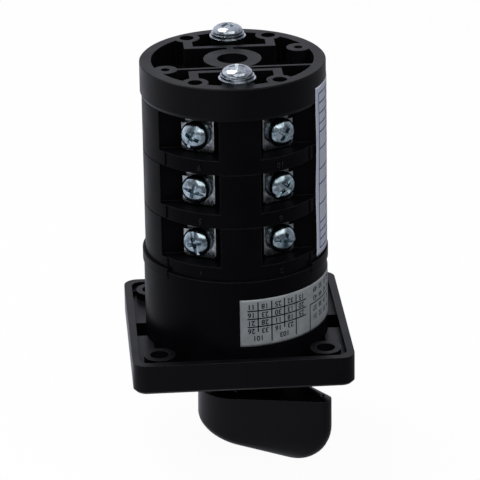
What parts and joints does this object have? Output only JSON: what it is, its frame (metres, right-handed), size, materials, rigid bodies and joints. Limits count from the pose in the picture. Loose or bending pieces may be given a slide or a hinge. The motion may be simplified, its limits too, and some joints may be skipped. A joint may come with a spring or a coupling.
{
  "type": "rotary changeover switch",
  "caption": "Panel-mounted rotary cam switch: square face plate, pointer knob, round stack of contact stages with screw terminals, and a ribbed rear cap.",
  "frame": {"origin": "on the shaft's axis, in the plane of the face plate's rear rim, which is also the centre of its four fixing holes", "axes": "+Z along the shaft towards the rear cap, -Y towards the side with the pictured terminals, +X to the picture's right"},
  "size_m": [0.064, 0.064, 0.1274],
  "materials": {
    "black_moulding": "satin black moulding",
    "dark_moulding": "satin black moulding with a faint violet sheen",
    "zinc_plate": "bright bluish zinc plate on steel",
    "bright_steel": "turned and milled",
    "spring_steel": "drawn wire",
    "copper_alloy": "stamped copper alloy",
    "white_nylon": "natural nylon",
    "red_plastic": "moulded",
    "silver_label": "silver-grey printed film",
    "white_label": "white printed film"
  },
  "bodies": {
    "housing": {"rear_cap": "dark_moulding", "stage_housing_1": "black_moulding", "stage_housing_2": "black_moulding", "stage_housing_3": "black_moulding", "latch_housing": "black_moulding", "face_plate": "black_moulding", "tie_bolts": "zinc_plate", "tie_flat_washers": "zinc_plate", "tie_spring_washers": "zinc_plate", "terminal_screws_1": "zinc_plate", "terminal_screws_2": "zinc_plate", "terminal_screws_3": "zinc_plate", "terminal_washers_1": "zinc_plate", "terminal_washers_2": "zinc_plate", "terminal_washers_3": "zinc_plate", "clamp_plates_1": "zinc_plate", "clamp_plates_2": "zinc_plate", "clamp_plates_3": "zinc_plate", "fixed_contacts_1": "copper_alloy", "fixed_contacts_2": "copper_alloy", "fixed_contacts_3": "copper_alloy", "spring_right_1": "spring_steel", "spring_right_2": "spring_steel", "spring_right_3": "spring_steel", "spring_left_1": "spring_steel", "spring_left_2": "spring_steel", "spring_left_3": "spring_steel", "index_spring_right": "spring_steel", "index_spring_left": "spring_steel", "plate_screws": "bright_steel", "rating_label": "silver_label", "side_label": "white_label"},
    "rotor": {"knob": "black_moulding", "knob_screw": "zinc_plate", "shaft": "bright_steel", "cam_1": "white_nylon", "cam_2": "white_nylon", "cam_3": "white_nylon", "index_wheel": "white_nylon"},
    "carrier_right_1": {"plunger_right_1": "red_plastic", "bridge_right_1": "copper_alloy"},
    "carrier_left_1": {"plunger_left_1": "red_plastic", "bridge_left_1": "copper_alloy"},
    "carrier_right_2": {"plunger_right_2": "red_plastic", "bridge_right_2": "copper_alloy"},
    "carrier_left_2": {"plunger_left_2": "red_plastic", "bridge_left_2": "copper_alloy"},
    "carrier_right_3": {"plunger_right_3": "red_plastic", "bridge_right_3": "copper_alloy"},
    "carrier_left_3": {"plunger_left_3": "red_plastic", "bridge_left_3": "copper_alloy"},
    "pawl_right": {"index_pawl_right": "red_plastic"},
    "pawl_left": {"index_pawl_left": "red_plastic"}
  },
  "joints": [
    {"name": "knob_turn", "type": "hinge", "parent": "housing", "child": "rotor", "pos_m": [0, 0, -0.0212], "axis": [0, 0, 1], "range_deg": [-120, 0]},
    {"name": "contact_right_1", "type": "slide", "parent": "housing", "child": "carrier_right_1", "axis": [1, 0, 0], "range_m": [0, 0.0026], "deforming": ["spring_right_1"]},
    {"name": "contact_left_1", "type": "slide", "parent": "housing", "child": "carrier_left_1", "axis": [1, 0, 0], "range_m": [0, 0.0026], "deforming": ["spring_left_1"]},
    {"name": "contact_right_2", "type": "slide", "parent": "housing", "child": "carrier_right_2", "axis": [1, 0, 0], "range_m": [0, 0.0026], "deforming": ["spring_right_2"]},
    {"name": "contact_left_2", "type": "slide", "parent": "housing", "child": "carrier_left_2", "axis": [1, 0, 0], "range_m": [0, 0.0026], "deforming": ["spring_left_2"]},
    {"name": "contact_right_3", "type": "slide", "parent": "housing", "child": "carrier_right_3", "axis": [1, 0, 0], "range_m": [0, 0.0026], "deforming": ["spring_right_3"]},
    {"name": "contact_left_3", "type": "slide", "parent": "housing", "child": "carrier_left_3", "axis": [1, 0, 0], "range_m": [0, 0.0026], "deforming": ["spring_left_3"]},
    {"name": "index_right", "type": "slide", "parent": "housing", "child": "pawl_right", "axis": [1, 0, 0], "range_m": [-0.0009, 0], "deforming": ["index_spring_right"]},
    {"name": "index_left", "type": "slide", "parent": "housing", "child": "pawl_left", "axis": [-1, 0, 0], "range_m": [-0.0009, 0], "deforming": ["index_spring_left"]}
  ],
  "couplings": [
    {"joint": "contact_right_1", "follows": "knob_turn", "m_per_rad": -0.0012414},
    {"joint": "contact_left_1", "follows": "knob_turn", "m_per_rad": -0.0012414},
    {"joint": "contact_right_2", "follows": "knob_turn", "m_per_rad": -0.0012414},
    {"joint": "contact_left_2", "follows": "knob_turn", "m_per_rad": -0.0012414},
    {"joint": "contact_right_3", "follows": "knob_turn", "m_per_rad": -0.0012414},
    {"joint": "contact_left_3", "follows": "knob_turn", "m_per_rad": -0.0012414}
  ]
}
